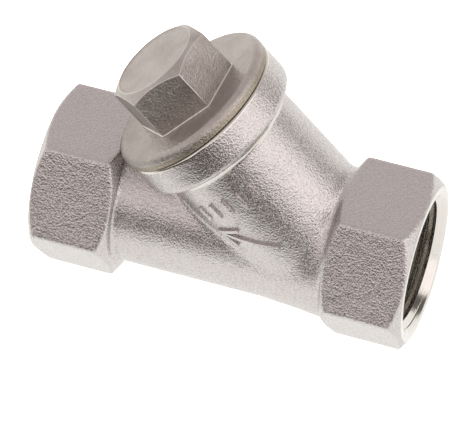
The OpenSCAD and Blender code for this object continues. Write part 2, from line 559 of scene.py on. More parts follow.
class Graph:
    """The node tree of one material or of the studio's surroundings."""

    def __init__(self, owner: bpy.types.Material | bpy.types.World) -> None:
        """Clear the owner's node tree and take it over.

        Args:
            owner: the material or the surroundings.
        """
        owner.use_nodes = True
        self.tree = owner.node_tree
        self.tree.nodes.clear()

    def node(
        self,
        kind: str,
        settings: dict[str, Any] | None = None,
        values: dict[int | str, Any] | None = None,
    ) -> bpy.types.Node:
        """Add a node.

        Args:
            kind: the node's type.
            settings: its properties, which are set first.
            values: what each of its sockets is given, by name or index: a wire or a constant.

        Returns:
            The node.
        """
        node = self.tree.nodes.new(kind)
        for key, value in (settings or {}).items():
            setattr(node, key, value)
        for key, value in (values or {}).items():
            if isinstance(value, Sig):
                self.tree.links.new(value.socket, node.inputs[key])
            elif isinstance(value, bpy.types.NodeSocket):
                self.tree.links.new(value, node.inputs[key])
            else:
                node.inputs[key].default_value = value
        return node

    def number(
        self,
        kind: str,
        settings: dict[str, Any] | None = None,
        values: dict[int | str, Any] | None = None,
        output: int | str = 0,
    ) -> Sig:
        """Add a node and return one of its outputs as a number."""
        return Sig(self, self.node(kind, settings, values).outputs[output])

    def place(self) -> bpy.types.NodeSocket:
        """Return the object coordinates, in metres."""
        return self.node("ShaderNodeTexCoord").outputs["Object"]

    def vector(self, kind: str, *values: Any) -> bpy.types.NodeSocket:
        """Add a Vector Math node and return its vector."""
        given = dict(enumerate(values))
        return self.node("ShaderNodeVectorMath", {"operation": kind}, given).outputs["Vector"]

    def about(self, axis: Axis) -> tuple[Sig, Sig]:
        """Measure each point from an axis.

        Args:
            axis: the line that the points are measured from.

        Returns:
            The height along the axis and the distance from it, in metres.
        """
        offset = self.vector("SUBTRACT", self.place(), tuple(axis.origin))
        direction = tuple(axis.direction)
        dot = {"operation": "DOT_PRODUCT"}
        height = self.number("ShaderNodeVectorMath", dot, {0: offset, 1: direction}, "Value")
        across = self.vector("CROSS_PRODUCT", offset, direction)
        radius = self.number("ShaderNodeVectorMath", {"operation": "LENGTH"}, {0: across}, "Value")
        return height, radius

    def noise(
        self,
        size: float,
        detail: float = 2.0,
        rough: float = 0.5,
        bend: float = 0.0,
        place: bpy.types.NodeSocket | None = None,
    ) -> Sig:
        """Add a cloudy noise whose blobs have a size in metres; it runs from 0 to 1."""
        values = {
            "Vector": place or self.place(),
            "Scale": 1.0 / size,
            "Detail": detail,
            "Roughness": rough,
            "Distortion": bend,
        }
        return self.number("ShaderNodeTexNoise", None, values)

    def cells(self, size: float) -> Sig:
        """Add a pattern of cells with a size in metres and return the distance to their middles."""
        values = {"Vector": self.place(), "Scale": 1.0 / size}
        return self.number("ShaderNodeTexVoronoi", None, values, "Distance")

    def rings(self, height: Sig, radius: Sig, size: float) -> Sig:
        """Add turning marks: noise that is even around an axis, with marks of a size in metres."""
        both = self.node("ShaderNodeCombineXYZ", None, {0: height, 1: radius}).outputs[0]
        return self.noise(size, 2.0, 0.6, 0.0, both)

    def mix(self, share: Any, first: Any, second: Any) -> bpy.types.NodeSocket:
        """Mix two colours by a share from 0 to 1."""
        values = {0: share, 6: self.colour(first), 7: self.colour(second)}
        return self.node("ShaderNodeMix", {"data_type": "RGBA"}, values).outputs[2]

    @staticmethod
    def colour(value: Any) -> Any:
        """Give a plain colour its alpha, and pass a wire on."""
        return (*value, 1.0) if isinstance(value, tuple) else value

    def bump(
        self, height: Sig, depth: float, normal: bpy.types.NodeSocket | None = None
    ) -> bpy.types.NodeSocket:
        """Turn a height from 0 to 1 into a surface relief with a depth in metres.

        Args:
            height: the relief, from 0 to 1.
            depth: how deep it is, in metres.
            normal: the relief that it is laid on, if there is one.

        Returns:
            The normal.
        """
        values: dict[int | str, Any] = {"Height": height, "Distance": depth, "Strength": 1.0}
        if normal is not None:
            values["Normal"] = normal
        return self.node("ShaderNodeBump", None, values).outputs["Normal"]

    def surface(self, values: dict[str, Any]) -> None:
        """Add the surface shader with what its sockets are given, and the material's output.

        Args:
            values: what each of the shader's sockets is given, by name.
        """
        given = {key: self.colour(value) for key, value in values.items()}
        shader = self.node("ShaderNodeBsdfPrincipled", None, given)
        self.node("ShaderNodeOutputMaterial", None, {"Surface": shader.outputs[0]})


class Finish:
    """A surface finish that makes its own material."""

    name: str

    def fill(self, graph: Graph) -> None:
        """Add the finish's nodes to a material."""
        raise NotImplementedError

    def material(self) -> bpy.types.Material:
        """Return the finish's material, made the first time it is asked for.

        Returns:
            The material.
        """
        known = bpy.data.materials.get(self.name)
        if known is None:
            known = bpy.data.materials.new(self.name)
            self.fill(Graph(known))
        return known


@dataclass(frozen=True)
class CastSteel(Finish):
    """Investment-cast steel, shot blasted: a pebbled skin with faint stains and pits."""

    name: str = "cast_steel_skin"
    colour: Colour = (0.62, 0.59, 0.575)
    hollow_colour: Colour = (0.50, 0.465, 0.445)
    stain: Colour = (0.44, 0.36, 0.27)
    roughness: float = 0.16
    grain: float = 0.40 * MM
    grain_depth: float = 0.165 * MM
    ripple: float = 1.4 * MM
    ripple_depth: float = 0.025 * MM
    patch: float = 9.0 * MM
    spot: float = 5.0 * MM
    pit: float = 3.8 * MM

    def fill(self, graph: Graph) -> None:
        """Add the pebbles, ripples, stains and pits.

        Args:
            graph: the material's nodes.
        """
        pebbles = graph.noise(self.grain, 1.0, 0.5, 0.2)
        fine = graph.noise(self.grain * 0.42, 1.0, 0.5)
        skin = pebbles * 0.75 + fine * 0.25
        ripple = graph.noise(self.ripple, 1.0, 0.5)
        patches = graph.noise(self.patch, 3.0, 0.6, 1.0)
        spots = graph.noise(self.spot, 1.0).step(0.58, 0.66)
        pits = graph.cells(self.pit).step(0.07, 0.0) * spots
        hollow = skin.step(0.58, 0.36) * 0.7 + pits * 0.3
        clean = graph.mix(hollow, self.colour, self.hollow_colour)
        tone = graph.mix(patches.step(0.64, 0.8) * 0.2, clean, self.stain)
        relief = graph.bump(ripple, self.ripple_depth)
        relief = graph.bump(skin - pits * 0.6, self.grain_depth, relief)
        graph.surface({
            "Base Color": tone,
            "Metallic": 1.0,
            "Roughness": self.roughness + skin.step(0.65, 0.3) * 0.10 + patches * 0.06,
            "Normal": relief,
        })


@dataclass(frozen=True)
class TurnedSteel(Finish):
    """Bright machined steel with fine turning marks about an axis."""

    name: str
    axis: Axis
    colour: Colour = (0.74, 0.72, 0.68)
    shade: Colour = (0.60, 0.57, 0.52)
    roughness: float = 0.10
    mark: float = 0.16 * MM
    mark_depth: float = 0.004 * MM
    patch: float = 3.0 * MM

    def fill(self, graph: Graph) -> None:
        """Add the turning marks and a light haze.

        Args:
            graph: the material's nodes.
        """
        height, radius = graph.about(self.axis)
        marks = graph.rings(height, radius, self.mark)
        haze = graph.noise(self.patch, 3.0, 0.6)
        graph.surface({
            "Base Color": graph.mix(marks.step(0.35, 0.7) * 0.5 + haze * 0.3, self.colour, self.shade),
            "Metallic": 1.0,
            "Roughness": self.roughness + haze.step(0.3, 0.8) * 0.1 + marks * 0.06,
            "Normal": graph.bump(marks, self.mark_depth),
        })


@dataclass(frozen=True)
class SatinSteel(Finish):
    """Satin steel of the cap: a fine uneven grain, duller in patches, turned on its flange, with a painted dark
    olive reflection of the casting on the flange's side.
    """

    name: str
    axis: Axis
    # rim: the band on the flange's side where the painted reflection of the casting goes
    rim: Extent
    colour: Colour = (0.52, 0.48, 0.45)
    shade: Colour = (0.37, 0.33, 0.295)
    # painted reflection: the casting's dark olive, as mirrored on the flange's side, put into the colour
    painted_rim_shade: Colour = (0.36, 0.315, 0.235)
    roughness: float = 0.24
    grain: float = 0.44 * MM
    grain_depth: float = 0.12 * MM
    drag: float = 1.3 * MM
    mark: float = 0.3 * MM
    patch: float = 6.0 * MM
    pit: float = 4.1 * MM

    def fill(self, graph: Graph) -> None:
        """Add the grain, the patches, small pits and a painted shade round the flange's rim: a dark olive band
        that stands in for the casting mirrored there.

        Args:
            graph: the material's nodes.
        """
        height, radius = graph.about(self.axis)
        # mask of the band on the flange's side that gets the painted reflection of the casting
        rim = radius.step(self.rim.inner, self.rim.outer) * height.step(self.rim.high, self.rim.low)
        grain = graph.noise(self.grain, 3.0, 0.6, 0.9)
        drag = graph.noise(self.drag, 2.0, 0.5, 2.2)
        marks = graph.rings(height, radius, self.mark)
        patches = graph.noise(self.patch, 3.0, 0.6, 0.5)
        spots = graph.noise(self.patch, 1.0).step(0.5, 0.6)
        pits = graph.cells(self.pit).step(0.06, 0.0) * spots
        tone = graph.mix(patches.step(0.3, 0.75) * 0.6 + pits * 0.5, self.colour, self.shade)
        # paint the casting's dark olive reflection into the flange's side band
        tone = graph.mix(rim * (0.55 + patches * 0.45), tone, self.painted_rim_shade)
        relief = graph.bump(drag, self.grain_depth)
        relief = graph.bump(grain + marks * 0.5 - pits * 2.0, self.grain_depth, relief)
        graph.surface({
            "Base Color": tone,
            "Metallic": 1.0,
            "Roughness": self.roughness + grain.step(0.35, 0.7) * 0.1 + patches * 0.08,
            "Normal": relief,
        })


@dataclass(frozen=True)
class SheetSteel(Finish):
    """Rolled thin steel of the screen, bright with a faint rolling grain."""

    name: str
    axis: Axis
    colour: Colour = (0.66, 0.655, 0.645)
    shade: Colour = (0.50, 0.49, 0.47)
    roughness: float = 0.22
    grain: float = 0.5 * MM
    fine: float = 0.2 * MM
    fine_depth: float = 0.004 * MM
    patch: float = 4.0 * MM

    def fill(self, graph: Graph) -> None:
        """Add the rolling grain along the axis and a few dull patches.

        Args:
            graph: the material's nodes.
        """
        height, radius = graph.about(self.axis)
        grain = graph.rings(height, radius, self.grain)
        fine = graph.noise(self.fine, 2.0, 0.5)
        haze = graph.noise(self.patch, 3.0, 0.6)
        graph.surface({
            "Base Color": graph.mix(haze.step(0.3, 0.8) * 0.7 + grain * 0.2, self.colour, self.shade),
            "Metallic": 1.0,
            "Roughness": self.roughness + fine * 0.08 + haze * 0.1,
            "Normal": graph.bump(fine + grain * 0.4, self.fine_depth),
        })


@dataclass(frozen=True)
class Fluoropolymer(Finish):
    """Waxy white plastic of the gasket, with soft skiving marks."""

    name: str
    axis: Axis
    colour: Colour = (0.86, 0.85, 0.81)
    shade: Colour = (0.74, 0.72, 0.66)
    roughness: float = 0.42
    mark: float = 0.12 * MM
    mark_depth: float = 0.008 * MM
    patch: float = 2.0 * MM
    glow_depth: float = 0.5 * MM

    def fill(self, graph: Graph) -> None:
        """Add the marks and a faint tint.

        Args:
            graph: the material's nodes.
        """
        height, radius = graph.about(self.axis)
        marks = graph.rings(height, radius, self.mark)
        haze = graph.noise(self.patch, 3.0, 0.6)
        graph.surface({
            "Base Color": graph.mix(haze.step(0.35, 0.8) * 0.7, self.colour, self.shade),
            "Roughness": self.roughness + haze * 0.15,
            "Subsurface Weight": 0.12,
            "Subsurface Scale": self.glow_depth,
            "Normal": graph.bump(marks + haze, self.mark_depth),
        })


RUN = Axis(Vector((0.0, 0.0, mount("inlet_port")["pos_m"][2])), Vector((1.0, 0.0, 0.0)))
BRANCH = Axis(Vector(joint("cap_turn")["pos_m"]), Vector(joint("cap_turn")["axis"]).normalized())


@dataclass
class Housing:
    """The casting: run, hexagon ends with threaded ports, branch, collar, seat and marks."""

    name: str = "housing"
    body: str = "housing"
    slot: str = "cast_steel"
    half_run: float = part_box("body")[1][0]
    hex_af: float = 2 * RUN.origin.z
    hex_l: float = 14.85 * MM
    hex_face_r: float = 15.6 * MM
    hex_slope: float = math.tan(math.radians(31))
    hex_edge: float = 0.45 * MM
    run_r: float = 14.0 * MM
    flare: float = 1.25 * MM
    flare_start: float = 8.0 * MM
    flare_bend: float = 0.4
    branch_r: float = 14.1 * MM
    port_minor_r: float = mount("inlet_port")["dims"]["r_mm"] * MM
    port_thread_l: float = mount("inlet_port")["dims"]["length_mm"] * MM
    port_major_r: float = 13.22 * MM
    port_pitch: float = 1.814 * MM
    port_bury: float = 0.25 * MM
    port_root_half: float = 0.9 * MM
    port_crest_half: float = 0.16 * MM
    port_turns: int = 7
    port_runout: float = 1.2 * MM
    port_lead: float = 1.6 * MM
    port_cone: float = 2.2 * MM
    mouth_r: float = 13.8 * MM
    mouth_edge: float = 0.35 * MM
    mouth_step: float = 0.2 * MM
    passage_r: float = 10.998 * MM
    collar_r: float = BRANCH.extent("cap").outer
    collar_top: float = 37.944 * MM
    collar_l: float = 7.0 * MM
    collar_round: float = 1.2 * MM
    gasket_seat_r: float = 16.05 * MM
    gasket_floor: float = 36.854 * MM
    gasket_edge: float = 0.25 * MM
    cap_major_r: float = 14.02 * MM
    cap_crest_r: float = 13.19 * MM
    cap_pitch: float = 1.5 * MM
    cap_bury: float = 0.2 * MM
    cap_root_half: float = 0.74 * MM
    cap_crest_half: float = 0.2 * MM
    cap_turns: int = 4
    cap_lead: float = 1.0 * MM
    thread_floor: float = 31.694 * MM
    thread_relief: float = 0.5 * MM
    bore_cone: float = 2.5 * MM
    bore_r: float = 12.0 * MM
    web_h: float = 8.0 * MM
    web_t: float = 3.5 * MM
    seat_h: float = 6.8 * MM
    seat_r: float = 10.7 * MM
    seat_hole_r: float = 8.7 * MM
    mark_proud: float = 0.5 * MM
    mark_edge: float = 0.2 * MM
    stroke_w: float = 0.75 * MM
    arrow_l: float = 12.0 * MM
    arrow_w: float = 4.2 * MM
    arrow_head: float = 0.3
    arrow_rise: float = 10.0 * MM
    bars: int = 5
    bar_w: float = 0.75 * MM
    bar_l: float = 3.6 * MM
    bar_drop: float = 8.0 * MM
    bar_middle: float = -84.0
    bar_step: float = 13.0
    voxel: float = 0.42 * MM
    crease_reach: float = 3.2 * MM
    crease_passes: int = 40
    skin_passes: int = 3
    lump: float = 2.2 * MM
    lump_depth: float = 0.05 * MM
    over: float = 1.0 * MM

    @property
    def corner_r(self) -> float:
        """Return the hexagon's corner radius."""
        return self.hex_af / 2 / math.cos(math.radians(30))

    @property
    def neck_r(self) -> float:
        """Return the radius of the round between the barrel and the collar."""
        return self.collar_r - self.collar_round - self.branch_r

    def hex_end(self) -> bpy.types.Object:
        """Model one hexagon end about local Z, bevelled outside and coned inside.

        Returns:
            The end, standing on the branch's side and reaching past its end face.
        """
        end = self.half_run
        rise = self.corner_r - self.hex_face_r
        inner = end - self.hex_l
        out = self.corner_r + self.over
        envelope = Bench.turned("envelope", [
            (self.hex_face_r, inner - rise * self.hex_slope),
            (out, inner + self.over * self.hex_slope),
            (out, end - (rise + self.over) * self.hex_slope),
            (self.hex_face_r, end),
            (self.hex_face_r - self.over * 2, end + self.over),
        ])
        nut = Bench.prism("hex_end", 6, self.corner_r, 0.0, end + self.over)
        Bench.combine(nut, envelope, Join.KEEP)
        Bench.soften(nut, self.hex_edge, 3, 20)
        return nut

    def barrels(self) -> bpy.types.Object:
        """Model the run, flared under the branch, and the branch with its collar as one solid.

        Returns:
            The solid, in its place.
        """
        half = self.half_run - self.hex_l
        run = Bench.turned("run", [
            (self.run_r, -half),
            (self.run_r, self.flare_start),
            (self.run_r + self.flare * self.flare_bend, (self.flare_start + half) / 2),
            (self.run_r + self.flare, half),
        ])
        Bench.put(run, RUN.matrix())
        low = self.collar_top - self.collar_l
        branch = Bench.turned("branch", [
            (self.branch_r, -self.web_h),
            *arc((self.branch_r + self.neck_r, low - self.neck_r), self.neck_r, 180, 90),
            *arc(
                (self.collar_r - self.collar_round, low + self.collar_round),
                self.collar_round, -90, 0,
            ),
            (self.collar_r, self.collar_top + self.over),
        ])
        Bench.put(branch, BRANCH.matrix())
        size = 4 * self.half_run
        middle = Vector((0, 0, RUN.origin.z - size / 2))
        under = Bench.block("under", Vector((size, size, size)), middle)
        Bench.combine(branch, under, Join.CUT)
        return Bench.combine(run, branch, Join.ADD)

    def branch_outline(self, height: float) -> float:
        """Return the branch's outer radius at a height along its axis.

        Args:
            height: how far along the branch's axis.

        Returns:
            The radius.
        """
        low = self.collar_top - self.collar_l
        share = min(max((height - low + self.neck_r) / (2 * self.neck_r), 0.0), 1.0)
        return self.branch_r + (self.collar_r - self.branch_r) * share

    def crease(self, point: Vector) -> float:
        """Say how near a point is to the crease between the run and the branch.

        Args:
            point: a place on the casting's skin.

        Returns:
            1 on the crease, falling to 0 where its round ends.
        """
        from_branch = abs(BRANCH.radius(point) - self.branch_outline(BRANCH.height(point)))
        from_run = abs(RUN.radius(point) - self.run_r)
        if BRANCH.height(point) < 0 or abs(point.x) > self.half_run - self.hex_l:
            return 0.0
        return max(0.0, 1.0 - max(from_branch, from_run) / self.crease_reach)

    def skin(self) -> bpy.types.Object:
        """Model the casting's rough outer skin: joined, rounded in its creases and lumpy.

        Returns:
            The skin as one closed solid, in its place.
        """
        skin = self.barrels()
        for side in (1, -1):
            end = Bench.put(self.hex_end(), RUN.matrix())
            if side < 0:
                Bench.put(end, Matrix.Rotation(math.pi, 4, "Z"))
            Bench.combine(skin, end, Join.ADD)
        Bench.modify(skin, "REMESH", mode="VOXEL", voxel_size=self.voxel, use_smooth_shade=True)
        creases = skin.vertex_groups.new(name="creases")
        for vertex in skin.data.vertices:
            share = self.crease(vertex.co)
            if share > 0:
                creases.add([vertex.index], share, "REPLACE")
        creasing = {"iterations": self.crease_passes, "vertex_group": creases.name}
        Bench.modify(skin, "SMOOTH", factor=0.5, **creasing)
        Bench.modify(skin, "SMOOTH", factor=0.5, iterations=self.skin_passes)
        skin.vertex_groups.clear()
        lumps = bpy.data.textures.new("lumps", "CLOUDS")
        lumps.noise_scale = self.lump
        lumps.noise_depth = 1
        Bench.modify(skin, "DISPLACE", texture=lumps, strength=self.lump_depth, mid_level=0.9)
        return skin

    def port_cuts(self, skin: bpy.types.Object, side: int) -> None:
        """Bore, thread and face one port.

        Args:
            skin: the casting.
            side: 1 at the inlet, -1 at the outlet.
        """
        end = self.half_run
        floor = end - self.port_thread_l - (self.mouth_r - self.port_minor_r)
        place = Matrix.Rotation(0 if side > 0 else math.pi, 4, "Z") @ RUN.matrix()
        bore = Bench.turned("bore", [
            (self.port_major_r, end + self.over),
            (self.port_major_r, floor + self.port_runout),
            (self.port_minor_r, floor),
            (self.passage_r, floor - (self.port_minor_r - self.passage_r)),
        ])
        Bench.combine(skin, Bench.put(bore, place), Join.CUT)
        thread = Thread(
            root=self.port_major_r + self.port_bury,
            crest=self.port_minor_r,
            pitch=self.port_pitch,
            root_half=self.port_root_half,
            crest_half=self.port_crest_half,
            low=floor + self.port_lead,
            turns=self.port_turns,
        )
        Bench.combine(skin, Bench.put(thread.ridge("port_thread"), place), Join.ADD)
        step = self.mouth_step
        depth = self.mouth_r - self.port_minor_r + step
        facing = Bench.turned("facing", [
            (self.corner_r + self.over * 2, end + self.over * 4),
            (self.corner_r + self.over * 2, end),
            (self.mouth_r + self.mouth_edge, end),
            (self.mouth_r, end - step),
            (self.mouth_r - depth, end - step - depth),
        ])
        Bench.combine(skin, Bench.put(facing, place), Join.CUT)

    def passages(self, skin: bpy.types.Object) -> None:
        """Core out the run's passage on both sides of the slanted seat web.

        Args:
            skin: the casting.
        """
        size = self.half_run
        length = self.half_run - self.port_thread_l
        for low, high in ((self.web_h, size), (-size, self.web_h - self.web_t)):
            core = Bench.prism("core", Bench.STEPS, self.passage_r, -length, length)
            Bench.put(core, RUN.matrix())
            middle = BRANCH.matrix() @ Vector((0, 0, (low + high) / 2))
            half = Bench.block("half", Vector((4 * size, 4 * size, high - low)), Vector())
            turn = BRANCH.matrix().to_3x3().to_4x4()
            Bench.put(half, Matrix.Translation(middle) @ turn)
            Bench.combine(core, half, Join.KEEP)
            Bench.combine(skin, core, Join.CUT)

    def branch_cuts(self, skin: bpy.types.Object) -> None:
        """Face the collar, and bore and thread the branch down to the seat.

        Args:
            skin: the casting.
        """
        place = BRANCH.matrix()
        top = self.collar_top
        edge = self.collar_round / 2
        facing = Bench.turned("collar_facing", [
            (self.collar_r + self.over * 2, top + self.over * 3),
            (self.collar_r + self.over * 2, top - edge),
            *arc((self.collar_r - edge, top - edge), edge, 0, 90),
        ])
        Bench.combine(skin, Bench.put(facing, place), Join.CUT)
        relief = self.thread_floor + self.thread_relief
        bore = Bench.turned("branch_bore", [
            (self.cap_major_r, top + self.over),
            (self.cap_major_r, relief),
            (self.bore_r, relief - (self.cap_major_r - self.bore_r)),
            (self.bore_r, self.web_h),
        ])
        Bench.combine(skin, Bench.put(bore, place), Join.CUT)
        thread = Thread(
            root=self.cap_major_r + self.cap_bury,
            crest=self.cap_crest_r,
            pitch=self.cap_pitch,
            root_half=self.cap_root_half,
            crest_half=self.cap_crest_half,
            low=self.thread_floor + self.cap_lead,
            turns=self.cap_turns,
        )
        Bench.combine(skin, Bench.put(thread.ridge("branch_thread"), place), Join.ADD)
        seat = Bench.turned("gasket_seat", [
            (self.gasket_seat_r + self.gasket_edge, top + self.over),
            (self.gasket_seat_r + self.gasket_edge, top),
            (self.gasket_seat_r, top - self.gasket_edge),
            (self.gasket_seat_r, self.gasket_floor),
            (self.cap_major_r + 0.05 * MM, self.gasket_floor),
            (self.cap_crest_r - 0.2 * MM, self.gasket_floor - (self.cap_major_r - self.cap_crest_r)),
        ])
        Bench.combine(skin, Bench.put(seat, place), Join.CUT)
        pocket = Bench.turned("seat_pocket", [
            (self.seat_r, self.web_h + self.over / 2),
            (self.seat_r, self.seat_h),
            (self.seat_hole_r, self.seat_h),
            (self.seat_hole_r, self.web_h - self.web_t - self.over),
        ])
        Bench.combine(skin, Bench.put(pocket, place), Join.CUT)

    def stroke(self, start: Point, end: Point) -> bpy.types.Object:
        """Model one stroke of the arrow, reaching out of the branch towards its front.

        Args:
            start: where it starts along the run and up, from the arrow's middle.
            end: where it ends.

        Returns:
            The stroke.
        """
        across, up = end[0] - start[0], end[1] - start[1]
        depth = self.collar_r - self.branch_r / 2
        size = Vector((math.hypot(across, up) + self.stroke_w, depth, self.stroke_w))
        middle = Vector((
            BRANCH.origin.x - self.arrow_rise + (start[0] + end[0]) / 2,
            -(self.collar_r + self.branch_r / 2) / 2,
            RUN.origin.z + self.arrow_rise + (start[1] + end[1]) / 2,
        ))
        stroke = Bench.block("stroke", size, Vector())
        turn = Matrix.Rotation(-math.atan2(up, across), 4, "Y")
        return Bench.put(stroke, Matrix.Translation(middle) @ turn)

    def arrow(self) -> bpy.types.Object:
        """Model the raised arrow that points the way the water flows, as a shaft and two barbs.

        Returns:
            The arrow, reaching out of the branch.
        """
        tip = (-self.arrow_l / 2, 0.0)
        barb = tip[0] + self.arrow_head * self.arrow_l
        shaft = self.stroke((self.arrow_l / 2, 0.0), tip)
        for side in (-1, 1):
            end = (barb, side * self.arrow_w / 2)
            Bench.combine(shaft, self.stroke(tip, end), Join.ADD)
        return shaft

    def bar(self, number: int) -> bpy.types.Object:
        """Model one raised bar of the row under the collar.

        Args:
            number: which bar of the row it is.

        Returns:
            The bar, reaching out of the branch.
        """
        height = self.collar_top - self.collar_l - self.bar_drop
        size = Vector((self.branch_r, self.bar_w, self.bar_l))
        bar = Bench.block("bar", size, Vector((self.branch_r, 0, height)))
        angle = self.bar_middle + (number - (self.bars - 1) / 2) * self.bar_step
        return Bench.put(bar, BRANCH.matrix() @ Matrix.Rotation(math.radians(angle), 4, "Z"))

    def marks(self, skin: bpy.types.Object) -> None:
        """Raise the arrow and the row of bars on the front of the branch."""
        for mark in (self.arrow(), *(self.bar(number) for number in range(self.bars))):
            sleeve = Bench.prism(
                "sleeve", Bench.STEPS, self.branch_r + self.mark_proud, 0, self.collar_top
            )
            Bench.combine(mark, Bench.put(sleeve, BRANCH.matrix()), Join.KEEP)
            Bench.soften(mark, self.mark_edge, 2, 40)
            Bench.combine(skin, mark, Join.ADD)

    def build(self) -> bpy.types.Object:
        """Model the whole housing as one closed solid.

        Returns:
            The housing.
        """
        housing = self.skin()
        self.marks(housing)
        for side in (1, -1):
            self.port_cuts(housing, side)
        self.passages(housing)
        self.branch_cuts(housing)
        housing.name = self.name
        housing.data.name = self.name
        return housing

    def machined(self, place: Vector) -> str | None:
        """Name the cut surface that a place on the housing belongs to.

        Args:
            place: the middle of a face.

        Returns:
            "port" or "collar", or None on the cast skin.
        """
        from_run = RUN.radius(place)
        along = BRANCH.height(place)
        out = BRANCH.radius(place)
        port_floor = self.half_run - self.port_thread_l - self.port_cone
        if abs(place.x) > self.half_run - NEAR:
            return "port"
        if abs(place.x) > port_floor and from_run < self.mouth_r + self.mouth_step:
            return "port"
        collar_edge = self.collar_top - self.collar_round / 2 - NEAR
        bore_floor = self.thread_floor - self.bore_cone
        bore_edge = self.gasket_seat_r + self.gasket_edge + 5 * NEAR
        in_collar = along > collar_edge and out < self.collar_r + 10 * NEAR
        in_bore = along > bore_floor and out < bore_edge
        in_seat = self.web_h > along > self.web_h - self.web_t and out < self.seat_r + 5 * NEAR
        return "collar" if in_collar or in_bore or in_seat else None

    def dress(self, housing: bpy.types.Object) -> None:
        """Give the skin and the machined faces their finishes, with sharp lines between them.

        Args:
            housing: the finished housing.
        """
        finishes = {
            None: CastSteel(),
            "port": TurnedSteel("port_steel", RUN),
            "collar": TurnedSteel("collar_steel", BRANCH),
        }
        mesh = housing.data
        mesh.materials.clear()
        for finish in finishes.values():
            mesh.materials.append(finish.material())
        order = list(finishes)
        mesh.polygons.foreach_set(
            "material_index", [order.index(self.machined(face.center)) for face in mesh.polygons]
        )
        Bench.shade(housing, 38)


